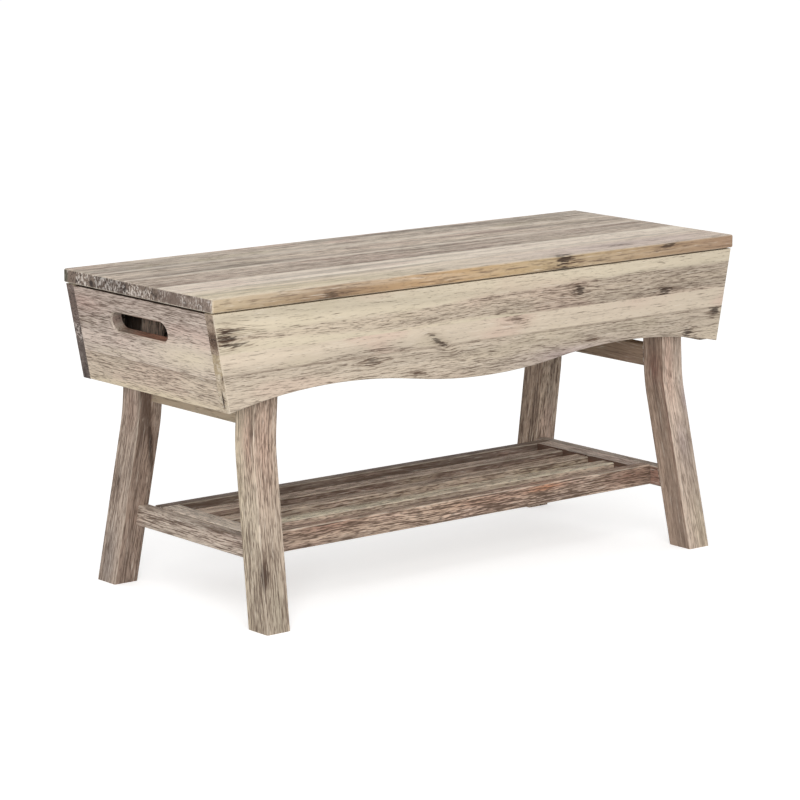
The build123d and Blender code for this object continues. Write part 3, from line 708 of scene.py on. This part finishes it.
# legs and upper rails: weathered taupe, each side with its own tone
legBend = {"knee": 0.24, "splay": 0.19, "lean": 0.0559}
creamWash = tone(220, 204, 176)
pinkWash = tone(200, 160, 142)
greyWash = tone(172, 164, 144)
plumWash = tone(150, 136, 142)
darkStreak = tone(76, 58, 47)
cornerKnot = {"size": 0.008, "stretch": 2.2, "dark": 0.95, "halo": 1.0}  # seen on two sides
cornerStain = {"size": 0.005, "stretch": 2.6, "tone": tone(58, 42, 33), "strength": 0.85}
crack = {"stretch": 14.0, "tone": tone(34, 25, 20), "strength": 0.95}
legWood = {
    "order": "zyx",
    "dense": 0.75,
    "fine": 1.3,
    "lines": 0.82,
    "pores": 0.7,
    "pink": 0.35,
    "endFlecks": 0.4,
}
legs = {
    "leg_front_left": {
        "seed": 41.0,
        "lines": 0.74,
        "tones": shades(180, 163, 146, 0.8, 1.12),
        "faces": (
            {
                "axis": "through",
                "sign": -1.0,
                "rate": 3.4,
                "start": 0.0,
                "stops": [
                    (0.0, tone(192, 176, 156)),
                    (0.45, tone(213, 197, 175)),
                    (1.0, tone(215, 195, 173)),
                ],
                "stainsAndPaintedLight": (
                    spotAt(0.20, -0.109, size=0.009, stretch=14.0, tone=creamWash, strength=0.7),
                    spotAt(0.24, -0.136, size=0.009, stretch=4.0, tone=pinkWash, strength=0.6),
                    spotAt(0.258, -0.143, size=0.003, stretch=8.0, tone=darkStreak, strength=0.7),
                    spotAt(0.074, -0.149, **cornerStain),
                ),
                "knots": (spotAt(0.074, -0.150, **cornerKnot),),
            },
            {
                "axis": "across",
                "sign": -1.0,
                "tones": shades(184, 167, 149, 0.8, 1.12),
                "stainsAndPaintedLight": (
                    spotAt(0.24, -0.378, size=0.014, stretch=4.0, tone=pinkWash, strength=0.5),
                    spotAt(0.03, -0.376, size=0.014, stretch=3.0, tone=greyWash, strength=0.5),
                    spotAt(0.074, -0.392, **cornerStain),
                ),
                "knots": (spotAt(0.074, -0.393, **cornerKnot),),
            },
        ),
    },
    "leg_front_right": {
        "seed": 43.0,
        "tones": shades(200, 181, 164, 0.82, 1.1),
        "lines": 0.52,
        "pores": 0.5,
        "edge": 0.2,
        "faces": (
            {
                "axis": "through",
                "sign": -1.0,
                "tones": shades(163, 142, 126, 0.78, 1.12),
                "stainsAndPaintedLight": (
                    spotAt(0.255, -0.130, size=0.012, stretch=1.8, tone=tone(138, 96, 84), strength=0.7),
                    spotAt(0.18, -0.146, size=0.004, stretch=16.0, tone=tone(128, 96, 84), strength=0.6),
                ),
            },
            {
                "axis": "across",
                "sign": -1.0,
                "tones": shades(203, 183, 166, 0.86, 1.08),
                "stainsAndPaintedLight": (
                    spotAt(0.26, 0.366, size=0.008, stretch=6.0, tone=pinkWash, strength=0.5),
                    spotAt(0.21, 0.391, size=0.005, stretch=3.5, tone=plumWash, strength=0.5),
                    spotAt(0.15, 0.374, size=0.008, stretch=3.0, tone=plumWash, strength=0.4),
                    spotAt(0.02, 0.385, size=0.016, stretch=3.0, tone=creamWash, strength=0.5),
                ),
            },
        ),
    },
    "leg_back_left": {
        "seed": 45.0,
        "tones": shades(148, 128, 114, 0.76, 1.12),
        "faces": (
            {
                "axis": "through",
                "sign": -1.0,
                "tones": shades(178, 160, 145, 0.8, 1.12),
                "stainsAndPaintedLight": (
                    spotAt(0.25, 0.126, size=0.012, stretch=2.5, tone=pinkWash, strength=0.35),
                    # a dark patch of painted shade on the leg's side inside the box, seen through the hand hole
                    spotAt(0.39, 0.128, size=0.05, stretch=1.2, tone=tone(28, 20, 16), strength=1.0),  # in the box
                    spotAt(0.146, 0.1325, size=0.005, stretch=3.0, tone=darkStreak, strength=0.6),
                    spotAt(0.03, 0.130, size=0.012, stretch=4.0, tone=tone(150, 142, 138), strength=0.5),
                ),
                "knots": (spotAt(0.146, 0.1325, size=0.004, stretch=2.6, dark=0.7),),
            },
            {
                "axis": "across",
                "sign": -1.0,
                "tones": shades(154, 134, 120, 0.76, 1.12),
                "stainsAndPaintedLight": (
                    spotAt(0.197, -0.370, size=0.0024, slope=-0.223, **crack),
                    spotAt(0.245, -0.384, size=0.009, stretch=5.0, tone=darkStreak, strength=0.6),
                    spotAt(0.26, -0.361, size=0.007, stretch=5.0, tone=tone(166, 152, 140), strength=0.6),
                    # a pale patch of painted light on the leg's front inside the box, seen through the hand hole
                    spotAt(0.38, -0.375, size=0.04, stretch=1.2, tone=tone(255, 226, 204), strength=0.95),  # in the box
                ),
                "knots": (
                    spotAt(0.20, -0.3687, size=0.0028, stretch=12.0, slope=-0.236, dark=0.95, halo=0.7),
                ),
            },
        ),
    },
    "leg_back_right": {
        "seed": 47.0,
        "lines": 0.95,
        "pores": 0.85,
        "tones": shades(198, 178, 158, 0.74, 1.12),
        "faces": ({"axis": "through", "sign": -1.0, "tones": shades(167, 146, 128, 0.78, 1.12)},),
    },
}
for nodeName, look in legs.items():
    bend = {
        "knee": legBend["knee"],
        "splay": legBend["splay"] if "front" in nodeName else -legBend["splay"],
        "lean": -legBend["lean"] if nodeName.endswith("left") else legBend["lean"],
    }
    woodFinish(nodeName, {**legWood, "bend": bend, **look})

upperRails = {
    "upper_rail_left": {"seed": 51.0, "tones": shades(188, 170, 146), "dense": 0.15},
    "upper_rail_right": {"seed": 53.0, "tones": shades(144, 123, 104), "dense": 0.45},
}
for nodeName, look in upperRails.items():
    woodFinish(nodeName, {"order": "yzx", **look})
print("legs dressed")


# shelf: brown-grey with worn dashes, reddish in places along the front rail
shelfWood = {
    "dense": 0.85,
    "fine": 1.2,
    "lines": 0.92,
    "pores": 0.8,
    "olive": 0.35,
    "pink": 0.35,
    "edge": 0.6,
}
shelfLong = {
    "shelf_rail_front": {
        "seed": 61.0,
        "tones": shades(193, 169, 149, 0.72, 1.14),
        "lines": 0.95,
        "stainsAndPaintedLight": (
            spotAt(-0.23, 0.105, size=0.006, stretch=8.0, tone=tone(146, 98, 80), strength=0.6),
            spotAt(0.03, 0.104, size=0.006, stretch=12.0, tone=tone(174, 128, 100), strength=0.5),
            spotAt(0.149, 0.106, size=0.004, stretch=7.0, tone=tone(190, 124, 84), strength=0.8),
            spotAt(0.177, 0.090, size=0.005, stretch=8.0, tone=tone(120, 104, 104), strength=0.5),
            spotAt(0.31, 0.100, size=0.010, stretch=4.0, tone=tone(142, 98, 82), strength=0.6),
        ),
    },
    "shelf_rail_back": {"seed": 63.0, "tones": shades(120, 104, 92, 0.74, 1.12)},
    "shelf_slat_1": {
        "seed": 65.0,
        "lines": 0.68,
        "tones": shades(204, 184, 163, 0.74, 1.12),
        "faces": ({"axis": "through", "sign": 1.0, "tones": shades(254, 230, 204, 0.82, 1.0)},),
    },
    "shelf_slat_2": {
        "seed": 66.0,
        "tones": shades(168, 150, 132, 0.74, 1.12),
        "faces": ({"axis": "through", "sign": 1.0, "tones": shades(200, 178, 158, 0.76, 1.12)},),
    },
    "shelf_slat_3": {
        "seed": 67.0,
        "tones": shades(142, 122, 108, 0.74, 1.12),
        "faces": ({"axis": "through", "sign": 1.0, "tones": shades(198, 176, 158, 0.76, 1.12)},),
    },
}
for nodeName, look in shelfLong.items():
    order = "xzy" if "rail" in nodeName else "xyz"
    woodFinish(nodeName, {**shelfWood, "order": order, **look})

slotWall = {"tones": shades(104, 76, 62, 0.75, 1.12)}
crossWood = {"dense": 0.75, "lines": 0.9, "pores": 0.75, "pale": 0.55}
shelfCross = {
    "shelf_end_rail_left": {
        "order": "yxz",
        "seed": 71.0,
        "tones": shades(236, 220, 204),
        "lines": 0.6,
        "faces": ({"axis": "across", "sign": 1.0, **slotWall},),
    },
    "shelf_end_rail_right": {
        "order": "yxz",
        "seed": 73.0,
        "tones": shades(198, 181, 168),
        "lines": 0.65,
        "faces": ({"axis": "across", "sign": -1.0, **slotWall},),
    },
    "stretcher_left": {"order": "yzx", "seed": 75.0, "tones": shades(196, 180, 165, 0.78, 1.12)},
    "stretcher_right": {
        "order": "yzx",
        "seed": 77.0,
        "tones": shades(176, 162, 150, 0.8, 1.12),
        "faces": ({"axis": "through", "sign": -1.0, "tones": shades(146, 114, 100, 0.75, 1.12)},),
    },
}
for nodeName, look in shelfCross.items():
    woodFinish(nodeName, {**crossWood, **look})
print("shelf dressed")


# inside of the box, lid battens and dowels: plain sawn wood
innerWood = {"tones": (tone(158, 142, 125), tone(186, 170, 151), tone(204, 190, 170)), "dense": 0.35}
inside = {
    "floor_panel": {"order": "xyz", "seed": 81.0},
    "ledger_front": {"order": "xzy", "seed": 82.0},
    "ledger_back": {"order": "xzy", "seed": 83.0},
    "lid_batten_left": {"order": "yxz", "seed": 84.0},
    "lid_batten_right": {"order": "yxz", "seed": 85.0},
    "corner_dowels": {"order": "yzx", "seed": 86.0},
    "shelf_dowels": {"order": "xyz", "seed": 87.0},
}
for nodeName, look in inside.items():
    woodFinish(nodeName, {**innerWood, **look})
print("inside dressed")


# hinges and screws: dull brushed steel with a few dark spots
metals = {
    "hinge": {
        "tones": (tone(92, 86, 80), tone(168, 162, 154)),
        "spots": tone(74, 58, 46),
        "rough": 0.21,
    },
    "screw": {
        "tones": (tone(132, 130, 124), tone(196, 194, 188)),
        "spots": tone(110, 104, 94),
        "rough": 0.15,
    },
}
steel = {
    "brushed": {"scales": (60, 2400, 2400), "shift": (0, 0, 0), "detail": 3.0},
    "cloudy": {"scales": (180, 180, 180), "shift": (3, 1, 2), "detail": 4.0, "roughness": 0.65},
    "toneLimits": (0.25, 0.75),
    "spotLimits": (0.54, 0.7),
    "spotStrength": 0.6,
    "uneven": 0.3,
    "relief": 0.15,
    "depth": 0.0002,  # in metres
}


def objectParts(tree):
    place = addNode(tree, "ShaderNodeTexCoord").outputs["Object"]
    return addNode(tree, "ShaderNodeSeparateXYZ", {0: place}).outputs[:]


def addRelief(tree, shader, height, look):
    inputs = {"Strength": look["relief"], "Distance": look["depth"], "Height": height}
    tree.links.new(addNode(tree, "ShaderNodeBump", inputs).outputs[0], shader.inputs["Normal"])


def metalFinish(name, look):
    material, tree, shader = newMaterial(name)
    parts = objectParts(tree)
    brushed = noise(tree, parts, **steel["brushed"])
    cloudy = noise(tree, parts, **steel["cloudy"])
    colour = ramp(tree, brushed, list(zip(steel["toneLimits"], look["tones"])))
    spots = smooth(tree, cloudy, *steel["spotLimits"])
    colour = tinted(tree, colour, spots, steel["spotStrength"], look["spots"])
    tree.links.new(colour, shader.inputs["Base Color"])
    tree.links.new(plus(tree, cloudy, steel["uneven"], look["rough"]), shader.inputs["Roughness"])
    shader.inputs["Metallic"].default_value = 1.0
    addRelief(tree, shader, brushed, steel)
    return material


hingeFinish = metalFinish("hinge_steel_finish", metals["hinge"])
screwFinish = metalFinish("screw_steel_finish", metals["screw"])
for nodeName in nodes:
    if "screws" in nodeName:
        dress(nodeName, screwFinish)
    elif nodeName.startswith("hinge"):
        dress(nodeName, hingeFinish)

# pads that the lid comes down on
pad = {
    "grain": {"scales": (900, 900, 900), "shift": (0, 0, 0), "detail": 4.0, "roughness": 0.7},
    "stops": [(0.35, tone(38, 35, 32)), (0.7, tone(66, 62, 58))],
    "rough": (0.3, 0.6),
    "relief": 0.3,
    "depth": 0.0002,  # in metres
}
padFinish, padTree, padShader = newMaterial("pad_rubber_finish")
padGrain = noise(padTree, objectParts(padTree), **pad["grain"])
padTree.links.new(ramp(padTree, padGrain, pad["stops"]), padShader.inputs["Base Color"])
padTree.links.new(plus(padTree, padGrain, *pad["rough"]), padShader.inputs["Roughness"])
addRelief(padTree, padShader, padGrain, pad)
dress("lid_bumpers", padFinish)
print("hardware dressed")


# pale floor, soft light from the front and above, white surround
white = (1, 1, 1, 1)
studio = {
    "floorSize": 30.0,
    "floorTone": (0.80, 0.80, 0.80, 1.0),
    "floorRough": 0.9,
    "floorLift": 0.5,
    "worldStrength": 0.66,
    "lamps": {
        "keyLamp": {"place": (-2.3, -3.4, 3.2), "size": 3.5, "power": 78.0},
        "frontLamp": {"place": (-3.1, -3.1, 1.25), "size": 1.0, "power": 46.0},
    },
    "aim": (0.0, 0.0, 0.25),
}
shot = {
    "place": (-2.8749, -3.5108, 1.1088),
    "aim": (-0.1920, -0.2147, 0.2864),
    "lens": 150.14,
    "sensor": 36.0,
    "farthest": 100.0,
}


def seenDirectly(tree):  # 1 for what the camera sees, also in a reflection or through glass
    rays = addNode(tree, "ShaderNodeLightPath").outputs
    seen = calc(tree, "MAXIMUM", rays["Is Camera Ray"], rays["Is Glossy Ray"])
    return calc(tree, "MAXIMUM", seen, rays["Is Transmission Ray"])


def turnTo(place, aim):  # the turn that points a lamp or the camera at its aim
    return (Vector(aim) - Vector(place)).to_track_quat("-Z", "Y").to_euler()


bpy.ops.object.select_all(action="DESELECT")
bpy.ops.mesh.primitive_plane_add(size=studio["floorSize"], location=(0, 0, 0))
floor = bpy.context.object
floor.name = "studioFloor"
floorFinish, floorTree, floorShader = newMaterial("studio_floor")
floorShader.inputs["Base Color"].default_value = studio["floorTone"]
floorShader.inputs["Roughness"].default_value = studio["floorRough"]
floorShader.inputs["Specular IOR Level"].default_value = 0.0
lift = times(floorTree, seenDirectly(floorTree), studio["floorLift"])
glow = addNode(floorTree, "ShaderNodeEmission", {"Color": white, "Strength": lift})
both = addNode(floorTree, "ShaderNodeAddShader", {0: floorShader.outputs[0], 1: glow.outputs[0]})
floorTree.links.new(both.outputs[0], floorTree.nodes["Material Output"].inputs[0])
floor.data.materials.append(floorFinish)

world = bpy.data.worlds.new("studioWorld")
bpy.context.scene.world = world
world.use_nodes = True
worldTree = world.node_tree
worldTree.nodes.clear()
level = plus(worldTree, seenDirectly(worldTree), 1.0 - studio["worldStrength"], studio["worldStrength"])
surround = addNode(worldTree, "ShaderNodeBackground", {"Color": white, "Strength": level})
worldOut = addNode(worldTree, "ShaderNodeOutputWorld")
worldTree.links.new(surround.outputs[0], worldOut.inputs[0])

for name, lampLook in studio["lamps"].items():
    bpy.ops.object.select_all(action="DESELECT")
    bpy.ops.object.light_add(type="AREA", location=lampLook["place"])
    lamp = bpy.context.object
    lamp.name = name
    lamp.data.shape = "DISK"
    lamp.data.size = lampLook["size"]
    lamp.data.energy = lampLook["power"]
    lamp.rotation_euler = turnTo(lampLook["place"], studio["aim"])

bpy.ops.object.select_all(action="DESELECT")
bpy.ops.object.camera_add(location=shot["place"])
camera = bpy.context.object
camera.name = "shotCamera"
camera.data.lens = shot["lens"]
camera.data.sensor_width = shot["sensor"]
camera.data.clip_end = shot["farthest"]
camera.rotation_euler = turnTo(shot["place"], shot["aim"])
bpy.context.scene.camera = camera
bpy.context.scene.view_settings.view_transform = "Standard"
print("studio ready")
